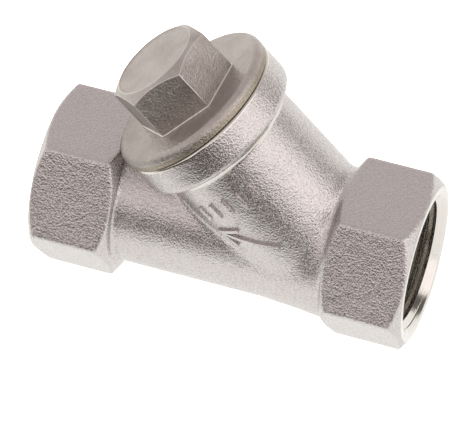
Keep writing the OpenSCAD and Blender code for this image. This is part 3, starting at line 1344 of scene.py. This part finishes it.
@dataclass
class ScrewCap:
    """The cap: a flange with a hexagon head above it and a threaded spigot below."""

    name: str = "screw_cap"
    body: str = "cap"
    slot: str = "cap_steel"
    low: float = BRANCH.extent("cap").low
    top: float = BRANCH.extent("cap").high
    flange_r: float = BRANCH.extent("cap").outer
    flange_low: float = 38.094 * MM
    flange_t: float = 2.65 * MM
    flange_round: float = 1.35 * MM
    flange_edge: float = 0.3 * MM
    head_edge: float = 0.4 * MM
    head_step: float = 0.28 * MM
    rim_w: float = 0.3 * MM
    rim_drop: float = 0.11 * MM
    hex_af: float = 19.0 * MM
    hex_turn: float = 23.0
    face_r: float = 8.7 * MM
    face_slope: float = math.tan(math.radians(32))
    pocket_r: float = 10.7 * MM
    pocket_top: float = 36.594 * MM
    pocket_mouth: float = 0.9 * MM
    crest_r: float = 13.9 * MM
    root_r: float = 13.0 * MM
    pitch: float = 1.5 * MM
    bury: float = 0.2 * MM
    root_half: float = 0.72 * MM
    crest_half: float = 0.14 * MM
    below: float = 0.4 * MM
    turns: int = 4
    start: float = 180.0
    spigot_edge: float = 0.6 * MM
    neck: float = 0.35 * MM
    lead_l: float = 1.2 * MM
    lead_gap: float = 0.4 * MM
    # where the painted reflection of the casting lies on the flange's side: depths below the flange's top as
    # shares of its rounding, and widths in from its rim
    painted_shade_drop: tuple[float, float] = (1.3, 0.9)
    painted_shade_w: tuple[float, float] = (0.7 * MM, 0.2 * MM)
    over: float = 1.0 * MM

    def head(self) -> bpy.types.Object:
        """Model the hexagon head about local Z: chamfered corners, a dished top, a step at its foot.

        Returns:
            The head, standing in the flange.
        """
        corner = self.hex_af / 2 / math.cos(math.radians(30))
        foot = self.flange_low + self.flange_t
        sunk = foot - self.over / 2
        out = corner + self.over
        head = Bench.prism("head", 6, corner, sunk, self.top, self.hex_turn - 30)
        envelope = Bench.turned("envelope", [
            (out, foot - self.over),
            (out, self.top - (out - self.face_r) * self.face_slope),
            (self.face_r, self.top),
            (self.face_r - self.rim_w, self.top),
            (self.face_r - self.rim_w - self.rim_drop, self.top - self.rim_drop),
        ])
        Bench.combine(head, envelope, Join.KEEP)
        Bench.soften(head, self.head_edge, 3, 22)
        rise = self.head_step
        step = Bench.prism("step", 6, corner + rise, sunk, foot + rise, self.hex_turn - 30)
        Bench.soften(step, rise * 0.8, 2, 40)
        Bench.combine(head, step, Join.ADD)
        return head

    def build(self) -> bpy.types.Object:
        """Model the cap as one closed solid in its place.

        Returns:
            The cap.
        """
        flange_top = self.flange_low + self.flange_t
        rim, edge = self.flange_round, self.flange_edge
        cap = Bench.turned("cap", [
            (self.root_r - self.spigot_edge, self.low),
            (self.root_r, self.low + self.spigot_edge),
            (self.root_r, self.flange_low - self.neck),
            (self.root_r + self.neck, self.flange_low),
            (self.flange_r - edge, self.flange_low),
            *arc((self.flange_r - edge, self.flange_low + edge), edge, -90, 0, 3),
            *arc((self.flange_r - rim, flange_top - rim), rim, 0, 90, 7),
        ])
        thread = Thread(
            root=self.root_r - self.bury,
            crest=self.crest_r,
            pitch=self.pitch,
            root_half=self.root_half,
            crest_half=self.crest_half,
            low=self.low - self.below,
            turns=self.turns,
            start=self.start,
        ).ridge("cap_thread")
        lead = Bench.turned("lead", [
            (self.root_r - edge, self.low),
            (self.crest_r + edge, self.low + self.lead_l),
            (self.crest_r + edge, self.flange_low - self.lead_gap),
            (self.root_r - self.lead_gap, self.flange_low - self.lead_gap + self.over),
        ])
        Bench.combine(thread, lead, Join.KEEP)
        Bench.combine(cap, thread, Join.ADD)
        Bench.combine(cap, self.head(), Join.ADD)
        pocket = Bench.turned("pocket", [
            (self.pocket_r + self.pocket_mouth, self.low - 2 * self.pocket_mouth / 3),
            (self.pocket_r, self.low + self.pocket_mouth / 3),
            (self.pocket_r, self.pocket_top),
        ])
        Bench.combine(cap, pocket, Join.CUT)
        Bench.put(cap, BRANCH.matrix())
        cap.name = self.name
        cap.data.name = self.name
        return cap

    def surface(self, face: bpy.types.MeshPolygon) -> str:
        """Name the kind of surface that a face of the cap lies on.

        Args:
            face: one of its faces.

        Returns:
            "spigot" below the flange, "worn_painted_highlight" on the head's edges, which are worn bright and
            painted brighter as highlight lines, "satin" elsewhere.
        """
        height = BRANCH.height(face.center)
        if height < self.flange_low + NEAR:
            return "spigot"
        if height < self.flange_low + self.flange_t + 10 * NEAR:
            return "satin"
        normal = BRANCH.matrix().to_3x3().inverted() @ face.normal
        chamfer = math.cos(math.atan(self.face_slope))
        dished = BRANCH.radius(face.center) < self.face_r - 10 * NEAR
        if dished or normal.z > 0.99 or abs(normal.z - chamfer) < 0.03:
            return "satin"
        turn = math.degrees(math.atan2(normal.y, normal.x)) - self.hex_turn
        flat = abs(turn % 60 - 30) < 3
        # the head's edge faces: partly wear, partly a painted highlight for the bright lines the edges catch
        return "satin" if flat and normal.z < 0.05 else "worn_painted_highlight"

    def dress(self, cap: bpy.types.Object) -> None:
        """Finish the cap in satin steel with a painted dark olive reflection of the casting on the flange's side,
        its edges worn bright and painted brighter as highlight lines, with a turned spigot.

        Args:
            cap: the finished cap.
        """
        flange_top = self.flange_low + self.flange_t
        # the flange's side band that gets the painted reflection of the casting
        rim = Extent(
            low=flange_top - self.flange_round * self.painted_shade_drop[0],
            high=flange_top - self.flange_round * self.painted_shade_drop[1],
            inner=self.flange_r - self.painted_shade_w[0],
            outer=self.flange_r - self.painted_shade_w[1],
        )
        finishes = {
            "satin": SatinSteel("cap_satin", BRANCH, rim),
            "spigot": TurnedSteel("spigot_steel", BRANCH),
            # brighter edges: partly wear, partly a painted highlight for the bright lines the edges catch
            "worn_painted_highlight": TurnedSteel("worn_edge_painted_highlight", BRANCH, (0.80, 0.77, 0.73), (0.66, 0.62, 0.57), 0.24),
        }
        mesh = cap.data
        mesh.materials.clear()
        for finish in finishes.values():
            mesh.materials.append(finish.material())
        order = list(finishes)
        mesh.polygons.foreach_set(
            "material_index", [order.index(self.surface(face)) for face in mesh.polygons]
        )
        Bench.shade(cap, 25)


@dataclass
class CapGasket:
    """The flat ring between the collar and the cap's flange."""

    name: str = "flat_gasket"
    body: str = "gasket"
    slot: str = "gasket_plastic"
    size: Extent = BRANCH.extent("cap_gasket")
    edge: float = 0.18 * MM

    def build(self) -> bpy.types.Object:
        """Model the ring with rounded edges in its place.

        Returns:
            The ring.
        """
        size, edge = self.size, self.edge
        inner, outer = size.inner + edge, size.outer - edge
        low, high = size.low + edge, size.high - edge
        ring = Bench.turned(self.name, [
            *arc((outer, low), edge, -90, 0, 3),
            *arc((outer, high), edge, 0, 90, 3),
            *arc((inner, high), edge, 90, 180, 3),
            *arc((inner, low), edge, 180, 270, 3),
        ], hollow=True)
        return Bench.put(ring, BRANCH.matrix())

    def dress(self, ring: bpy.types.Object) -> None:
        """Finish the ring in white fluoropolymer."""
        ring.data.materials.append(Fluoropolymer("gasket_white", BRANCH).material())
        Bench.shade(ring, 35)


@dataclass
class Screen:
    """The strainer screen: punched tube, woven liner and two channel rings."""

    body: str = "screen"
    sheet: Extent = BRANCH.extent("screen_tube")
    liner: Extent = BRANCH.extent("screen_mesh")
    lower: Extent = BRANCH.extent("screen_bottom_ring")
    upper: Extent = BRANCH.extent("screen_top_ring")
    ring_base: float = 0.6 * MM
    ring_edge: float = 0.2 * MM
    hole_r: float = 0.78 * MM
    lip: float = 1.05
    holes_round: int = 24
    hole_rows: int = 11
    row_pitch: float = 2.2 * MM
    sides: int = 16
    seam_half: float = 2.0 * MM
    seam_t: float = 0.28 * MM
    seam_lap: float = 0.12 * MM
    seam_gap: float = 0.3 * MM
    seam_edge: float = 0.08 * MM
    welds: int = 7
    weld_r: float = 0.9 * MM
    weld_h: float = 0.3 * MM
    weld_drop: float = 0.14 * MM
    wires: int = 80
    wire_rows: int = 36
    wire_r: float = 0.058 * MM
    wire_gap: float = 0.05 * MM

    def hole(self) -> bpy.types.Object:
        """Model one cell of the punched sheet, flat in the XZ plane, with a round hole.

        Returns:
            The cell, its border points set so that a row can be shifted by half a cell.
        """
        half_w = math.pi * (self.sheet.inner + self.sheet.outer) / 2 / self.holes_round
        half_h = self.row_pitch / 2
        Bench.clear()
        bpy.ops.mesh.primitive_circle_add(vertices=self.sides, radius=self.hole_r)
        cell = Bench.new("hole")
        bpy.ops.object.mode_set(mode="EDIT")
        bpy.ops.mesh.select_all(action="SELECT")
        bpy.ops.mesh.extrude_edges_move()
        bpy.ops.transform.resize(value=(self.lip, self.lip, 1), center_override=(0, 0, 0))
        reach = self.lip * self.hole_r
        for quarter in range(5):
            angle = math.radians(22.5 * quarter)
            way = Vector((math.cos(angle), math.sin(angle), 0)) * reach
            across = half_w * min(1.0, 2.0 - quarter / 2)
            along = half_h * min(1.0, quarter / 2)
            Bench.pick(
                cell,
                Part.POINTS,
                lambda co: (Vector((abs(co.x), abs(co.y), 0)) - way).length < 0.02 * self.hole_r,
            )
            stretch = (
                across / way.x if across > 1e-9 else 1.0,
                along / way.y if along > 1e-9 else 1.0,
                1.0,
            )
            bpy.ops.transform.resize(value=stretch, center_override=(0, 0, 0))
        return Bench.put(cell, Matrix.Rotation(math.pi / 2, 4, "X"))

    def row(self) -> bpy.types.Object:
        """Bend a row of cells into a closed ring about local Z.

        Returns:
            The ring of cells.
        """
        cell = self.hole()
        middle_r = (self.sheet.inner + self.sheet.outer) / 2
        Bench.modify(
            cell, "ARRAY", count=self.holes_round, use_merge_vertices=True, merge_threshold=TINY
        )
        half_cell = math.pi * middle_r / self.holes_round
        shift = -half_cell * (self.holes_round - 1)
        Bench.put(cell, Matrix.Translation((shift, 0, 0)))
        Bench.modify(cell, "SIMPLE_DEFORM", deform_method="BEND", deform_axis="Z", angle=math.tau)
        Bench.put(cell, Matrix.Translation((0, -middle_r, 0)))
        return cell

    def tube(self) -> bpy.types.Object:
        """Model the punched, rolled and lapped tube about local Z.

        Returns:
            The tube.
        """
        first = self.row()
        low = (self.sheet.low + self.sheet.high - (self.hole_rows - 1) * self.row_pitch) / 2
        rows = [first]
        for number in range(1, self.hole_rows):
            rows.append(Bench.copy(first, f"row_{number}"))
        for number, row in enumerate(rows):
            turn = Matrix.Rotation(math.pi / self.holes_round * (number % 2), 4, "Z")
            Bench.put(row, Matrix.Translation((0, 0, low + number * self.row_pitch)) @ turn)
        tube = Bench.join(rows)
        Bench.outward(tube, 2e-6)
        band = low - self.row_pitch / 2
        other_band = self.sheet.low + self.sheet.high - band
        for edge, end in ((band, self.sheet.low), (other_band, self.sheet.high)):
            Bench.pick(tube, Part.EDGES, lambda co: abs(co.z - edge) < TINY)
            bpy.ops.mesh.extrude_edges_move(TRANSFORM_OT_translate={"value": (0, 0, end - edge)})
        Bench.outward(tube)
        wall = self.sheet.outer - self.sheet.inner
        Bench.modify(tube, "SOLIDIFY", thickness=wall, offset=0.0, use_even_offset=False)
        return tube

    def seam(self) -> bpy.types.Object:
        """Model the lap seam with its row of spot welds about local Z.

        Returns:
            The seam's strip, on the back of the tube.
        """
        low = self.lower.high + self.seam_gap
        high = self.upper.low - self.seam_gap
        inner = self.sheet.outer - self.seam_lap
        outer = self.sheet.outer + self.seam_t
        strip = Bench.turned("seam", [
            (inner, low), (outer, low), (outer, high), (inner, high),
        ], hollow=True)
        keep = Bench.block(
            "keep",
            Vector((2 * self.seam_half, 2 * outer, high - low + 2 * MM)),
            Vector((0, outer, (low + high) / 2)),
        )
        Bench.combine(strip, keep, Join.KEEP)
        Bench.soften(strip, self.seam_edge, 1, 40)
        for number in range(self.welds):
            height = low + (number + 0.5) * (high - low) / self.welds
            dent = Bench.turned("dent", [
                (self.weld_r, self.weld_h), (self.weld_r, 0.0), (self.weld_r * 0.6, -self.weld_drop),
            ], 16)
            face = Matrix.Translation((0, outer, height)) @ Matrix.Rotation(-math.pi / 2, 4, "X")
            Bench.combine(strip, Bench.put(dent, face), Join.CUT)
        return strip

    def punched(self) -> bpy.types.Object:
        """Join the tube and its seam and put them in place.

        Returns:
            The tube with its seam.
        """
        tube = Bench.join([self.tube(), self.seam()])
        tube.name = tube.data.name = "punched_tube"
        return Bench.put(tube, BRANCH.matrix())

    def upright(self, side: int) -> bpy.types.Object:
        """Model one wire along local Z that weaves in and out at every row.

        Args:
            side: 1 to pass outside the lowest hoop, -1 to pass inside it.

        Returns:
            The wire, standing at the liner's middle radius.
        """
        length = self.liner.high - self.liner.low - 2 * self.wire_gap
        radius = (self.liner.inner + self.liner.outer) / 2
        Bench.clear()
        bpy.ops.mesh.primitive_circle_add(vertices=4, radius=self.wire_r, fill_type="NGON")
        wire = Bench.new("upright")
        bpy.ops.object.mode_set(mode="EDIT")
        bpy.ops.mesh.select_all(action="SELECT")
        bpy.ops.transform.translate(value=(radius, 0, self.liner.low + self.wire_gap))
        steps = 2 * self.wire_rows
        for step in range(steps):
            sway = side * self.wire_r * (1 if step % 4 in (0, 3) else -1)
            rise = {"value": (sway, 0, length / steps)}
            bpy.ops.mesh.extrude_region_move(TRANSFORM_OT_translate=rise)
        Bench.outward(wire)
        return wire

    def hoop(self) -> bpy.types.Object:
        """Model one wire around local Z that weaves in and out at every upright.

        Returns:
            The wire, about local zero.
        """
        radius = (self.liner.inner + self.liner.outer) / 2
        Bench.clear()
        bpy.ops.mesh.primitive_torus_add(
            major_segments=2 * self.wires,
            minor_segments=4,
            major_radius=radius,
            minor_radius=self.wire_r,
        )
        hoop = Bench.new("hoop")
        step = math.tau / self.wires
        for side in (0, 1):

            def crossing(place: Vector) -> bool:
                """Say whether a point is at a crossing on this side."""
                turn = math.atan2(place.y, place.x) / step
                return abs(turn - round(turn)) < 0.2 and round(turn) % 2 == side

            Bench.pick(hoop, Part.POINTS, crossing)
            share = 1 + (1 - 2 * side) * self.wire_r / radius
            bpy.ops.transform.resize(value=(share, share, 1), center_override=(0, 0, 0))
        Bench.clear()
        return hoop

    def woven(self) -> bpy.types.Object:
        """Weave the liner from its uprights and hoops and put it in place.

        Returns:
            The liner.
        """
        pitch = (self.liner.high - self.liner.low - 2 * self.wire_gap) / self.wire_rows
        step = math.tau / self.wires
        uprights = [self.upright(-1), self.upright(1)]
        hoop = self.hoop()
        wires = []
        for number in range(self.wires):
            wire = Bench.copy(uprights[number % 2], f"upright_{number}")
            wires.append(Bench.put(wire, Matrix.Rotation(step * number, 4, "Z")))
        for number in range(self.wire_rows):
            height = self.liner.low + self.wire_gap + (number + 0.5) * pitch
            turn = Matrix.Rotation(step * (number % 2), 4, "Z")
            wire = Bench.copy(hoop, f"hoop_{number}")
            wires.append(Bench.put(wire, Matrix.Translation((0, 0, height)) @ turn))
        for pattern in (*uprights, hoop):
            bpy.data.objects.remove(pattern)
        liner = Bench.join(wires)
        liner.name = liner.data.name = "woven_liner"
        return Bench.put(liner, BRANCH.matrix())

    def ring(self, name: str, size: Extent, down: bool) -> bpy.types.Object:
        """Model one channel ring with rolled edges in its place.

        Args:
            name: the ring's name.
            size: the reach of its CAD node.
            down: True if its base is at the lower end.

        Returns:
            The ring.
        """
        edge = self.ring_edge
        top = size.high - size.low
        sheet, liner = self.sheet.outer, self.liner.inner
        lip = (size.outer - sheet) / 2
        ring = Bench.turned(name, [
            *arc((size.outer - edge, edge), edge, -90, 0, 3),
            *arc((size.outer - lip, top - lip), lip, 0, 180, 6),
            (sheet, self.ring_base),
            (liner, self.ring_base),
            *arc((size.inner + lip, top - lip), lip, 0, 180, 6),
            *arc((size.inner + edge, edge), edge, 180, 270, 3),
        ], 96, hollow=True)
        if not down:
            Bench.put(ring, Matrix.Rotation(math.pi, 4, "X"))
        base = size.low if down else size.high
        return Bench.put(ring, BRANCH.matrix() @ Matrix.Translation((0, 0, base)))

    def build(self) -> dict[str, bpy.types.Object]:
        """Model the screen's four pieces, each under the name of the CAD node it stands for."""
        return {
            "screen_tube": self.punched(),
            "screen_mesh": self.woven(),
            "screen_top_ring": self.ring("upper_ring", self.upper, False),
            "screen_bottom_ring": self.ring("lower_ring", self.lower, True),
        }

    def dress(self, pieces: dict[str, bpy.types.Object]) -> None:
        """Finish the sheet, the wire and the rings, each in its own steel."""
        finishes = {
            "screen_tube": SheetSteel("screen_sheet_steel", BRANCH),
            "screen_mesh": SheetSteel(
                "screen_wire_steel", BRANCH, (0.55, 0.54, 0.52), (0.4, 0.39, 0.37), 0.3
            ),
            "screen_top_ring": TurnedSteel("ring_steel_polished", BRANCH),
            "screen_bottom_ring": TurnedSteel("ring_steel_polished", BRANCH),
        }
        for node, piece in pieces.items():
            piece.data.materials.clear()
            piece.data.materials.append(finishes[node].material())
            Bench.shade(piece, 35)


@dataclass(frozen=True)
class Band:
    """A level of the studio's surroundings, which fades in between two heights.

    Heights are the sine of the elevation above the object.
    """

    low: float
    high: float
    colour: Colour


@dataclass(frozen=True)
class Panel:
    """A soft patch of light or shade in the studio, seen in one direction.

    It is full within ``inner`` degrees of its middle and gone past ``outer`` degrees.
    """

    direction: tuple[float, float, float]
    inner: float
    outer: float
    colour: Colour


@dataclass(frozen=True)
class Studio:
    """A pale floor, soft light all round and the camera."""

    floor_size: float = 6.0
    floor_low: float = -0.02 * MM
    floor_colour: Colour = (0.93, 0.93, 0.93)
    fibre_colour: Colour = (0.91, 0.91, 0.91)
    fibre: float = 1.5 * MM
    floor_glow: float = 0.9
    front: tuple[Band, ...] = (
        Band(0.07, 0.20, (1.17, 1.075, 1.08)),
        Band(0.35, 0.75, (0.78, 0.71, 0.72)),
    )
    back: tuple[Band, ...] = (
        Band(-0.35, -0.12, (0.92, 0.86, 0.84)),
        Band(0.25, 0.70, (0.66, 0.605, 0.61)),
    )
    dusk: Colour = (0.09, 0.078, 0.068)
    front_edge: tuple[float, float] = (-0.35, -0.65)
    card_size: float = 3.0
    card_low: float = -1.0 * MM
    card_front: tuple[float, float] = (-0.115, -0.035)
    card_colour: Colour = (1.17, 1.155, 1.13)
    panels: tuple[Panel, ...] = (
        Panel((0.93, -0.20, 0.32), 28, 48, (1.42, 1.34, 1.34)),
        Panel((0.80, 0.60, 0.14), 10, 17, (0.15, 0.133, 0.12)),
        Panel((0.27, -0.92, -0.30), 9, 21, (0.11, 0.096, 0.085)),
        Panel((0.05, -0.99, 0.10), 9, 15, (0.12, 0.105, 0.093)),
    )
    lamp_size: float = 0.7
    lamp_power: float = 14.0
    lamp_place: tuple[float, float, float] = (-0.15, 0.25, 1.0)
    lens: float = 369.6
    azimuth: float = 18.7
    elevation: float = 47.75
    roll: float = 0.41
    distance: float = 0.9145
    clip: tuple[float, float] = (0.05, 20.0)
    target: tuple[float, float, float] = (-0.0021, 0.0, 0.0147)

    def floor(self) -> bpy.types.Object:
        """Lay the floor, which the steel doesn't mirror; the panels light it instead.

        Returns:
            The floor.
        """
        Bench.clear()
        bpy.ops.mesh.primitive_plane_add(size=self.floor_size, location=(0, 0, self.floor_low))
        floor = Bench.put(Bench.new("floor"), Matrix.Identity(4))
        paper = bpy.data.materials.new("floor_paper")
        graph = Graph(paper)
        fibre = graph.noise(self.fibre, 3.0, 0.6)
        graph.surface({
            "Base Color": graph.mix(fibre * 0.3, self.floor_colour, self.fibre_colour),
            "Roughness": 0.9,
            "Emission Color": self.floor_colour,
            "Emission Strength": self.floor_glow,
        })
        floor.data.materials.append(paper)
        floor.visible_glossy = False
        return floor

    def card(self) -> bpy.types.Object:
        """Lay a glowing card under the floor for the steel to mirror; it fades towards the front.

        Returns:
            The card.
        """
        Bench.clear()
        bpy.ops.mesh.primitive_plane_add(size=self.card_size, location=(0, 0, self.card_low))
        card = Bench.put(Bench.new("card"), Matrix.Identity(4))
        glow = bpy.data.materials.new("card_glow")
        graph = Graph(glow)
        depth = Sig(graph, graph.node("ShaderNodeSeparateXYZ", None, {0: graph.place()}).outputs["Y"])
        colour = graph.mix(depth.step(*self.card_front), self.dusk, self.card_colour)
        shine = graph.node("ShaderNodeEmission", None, {"Color": colour, "Strength": 1.0})
        graph.node("ShaderNodeOutputMaterial", None, {"Surface": shine.outputs[0]})
        card.data.materials.append(glow)
        card.visible_camera = False
        card.visible_diffuse = False
        card.visible_shadow = False
        return card

    def surroundings(self) -> None:
        """Light the scene from soft panels all round it."""
        world = bpy.data.worlds.new("studio")
        bpy.context.scene.world = world
        graph = Graph(world)
        way = graph.node("ShaderNodeTexCoord").outputs["Generated"]
        way = graph.vector("NORMALIZE", way)
        parts = graph.node("ShaderNodeSeparateXYZ", None, {0: way}).outputs
        rise, depth = Sig(graph, parts["Z"]), Sig(graph, parts["Y"])
        walls = []
        for bands in (self.back, self.front):
            wall: Any = self.dusk
            for band in bands:
                wall = graph.mix(rise.step(band.low, band.high), wall, band.colour)
            walls.append(wall)
        light = graph.mix(depth.step(*self.front_edge), *walls)
        for panel in self.panels:
            middle = tuple(Vector(panel.direction).normalized())
            dot = {"operation": "DOT_PRODUCT"}
            facing = graph.number("ShaderNodeVectorMath", dot, {0: way, 1: middle}, "Value")
            share = facing.step(
                math.cos(math.radians(panel.outer)), math.cos(math.radians(panel.inner))
            )
            light = graph.mix(share, light, panel.colour)
        back = graph.node("ShaderNodeBackground", None, {"Color": light, "Strength": 1.0})
        graph.node("ShaderNodeOutputWorld", None, {"Surface": back.outputs[0]})

    def lamp(self) -> bpy.types.Object:
        """Hang one large soft lamp above and behind.

        Returns:
            The lamp.
        """
        Bench.clear()
        bpy.ops.object.light_add(type="AREA", location=self.lamp_place)
        lamp = bpy.context.object
        lamp.name = "soft_lamp"
        lamp.data.shape = "DISK"
        lamp.data.size = self.lamp_size
        lamp.data.energy = self.lamp_power
        lamp.visible_glossy = False
        lamp.rotation_euler = Vector(self.lamp_place).to_track_quat("Z", "Y").to_euler()
        return lamp

    def camera(self) -> bpy.types.Object:
        """Set the camera up at its angles round the target.

        Returns:
            The camera.
        """
        turn, rise = math.radians(self.azimuth), math.radians(self.elevation)
        back = Vector((
            math.sin(turn) * math.cos(rise), -math.cos(turn) * math.cos(rise), math.sin(rise)
        ))
        Bench.clear()
        bpy.ops.object.camera_add(location=Vector(self.target) + back * self.distance)
        camera = bpy.context.object
        camera.name = "camera"
        tilt = Matrix.Rotation(math.radians(self.roll), 4, "Z")
        camera.matrix_world = (
            Matrix.Translation(camera.location)
            @ back.to_track_quat("Z", "Y").to_matrix().to_4x4()
            @ tilt
        )
        camera.data.lens = self.lens
        camera.data.clip_start, camera.data.clip_end = self.clip
        bpy.context.scene.camera = camera
        return camera

    def build(self) -> None:
        """Set up the floor, the lights, the camera and a plain colour transform."""
        self.floor()
        self.card()
        self.surroundings()
        self.lamp()
        self.camera()
        bpy.context.scene.view_settings.view_transform = "Standard"


def stand_in(piece: bpy.types.Object, body: str, node: str) -> None:
    """Make a finished piece stand for a CAD node.

    Args:
        piece: the finished piece.
        body: the body that it moves with.
        node: the CAD node that it replaces.
    """
    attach(piece, body)
    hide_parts(node)
    LOG.info("%s: %d points, %d faces", piece.name, len(piece.data.vertices), len(piece.data.polygons))


def main() -> None:
    """Build every piece in order."""
    logging.basicConfig(level=logging.INFO, format="%(name)s: %(message)s")
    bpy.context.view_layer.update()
    for maker, node in ((Housing(), "body"), (ScrewCap(), "cap"), (CapGasket(), "cap_gasket")):
        piece = maker.build()
        maker.dress(piece)
        stand_in(piece, maker.body, node)
    screen = Screen()
    pieces = screen.build()
    screen.dress(pieces)
    for node, piece in pieces.items():
        stand_in(piece, screen.body, node)
    Studio().build()


if __name__ == "__main__":
    main()
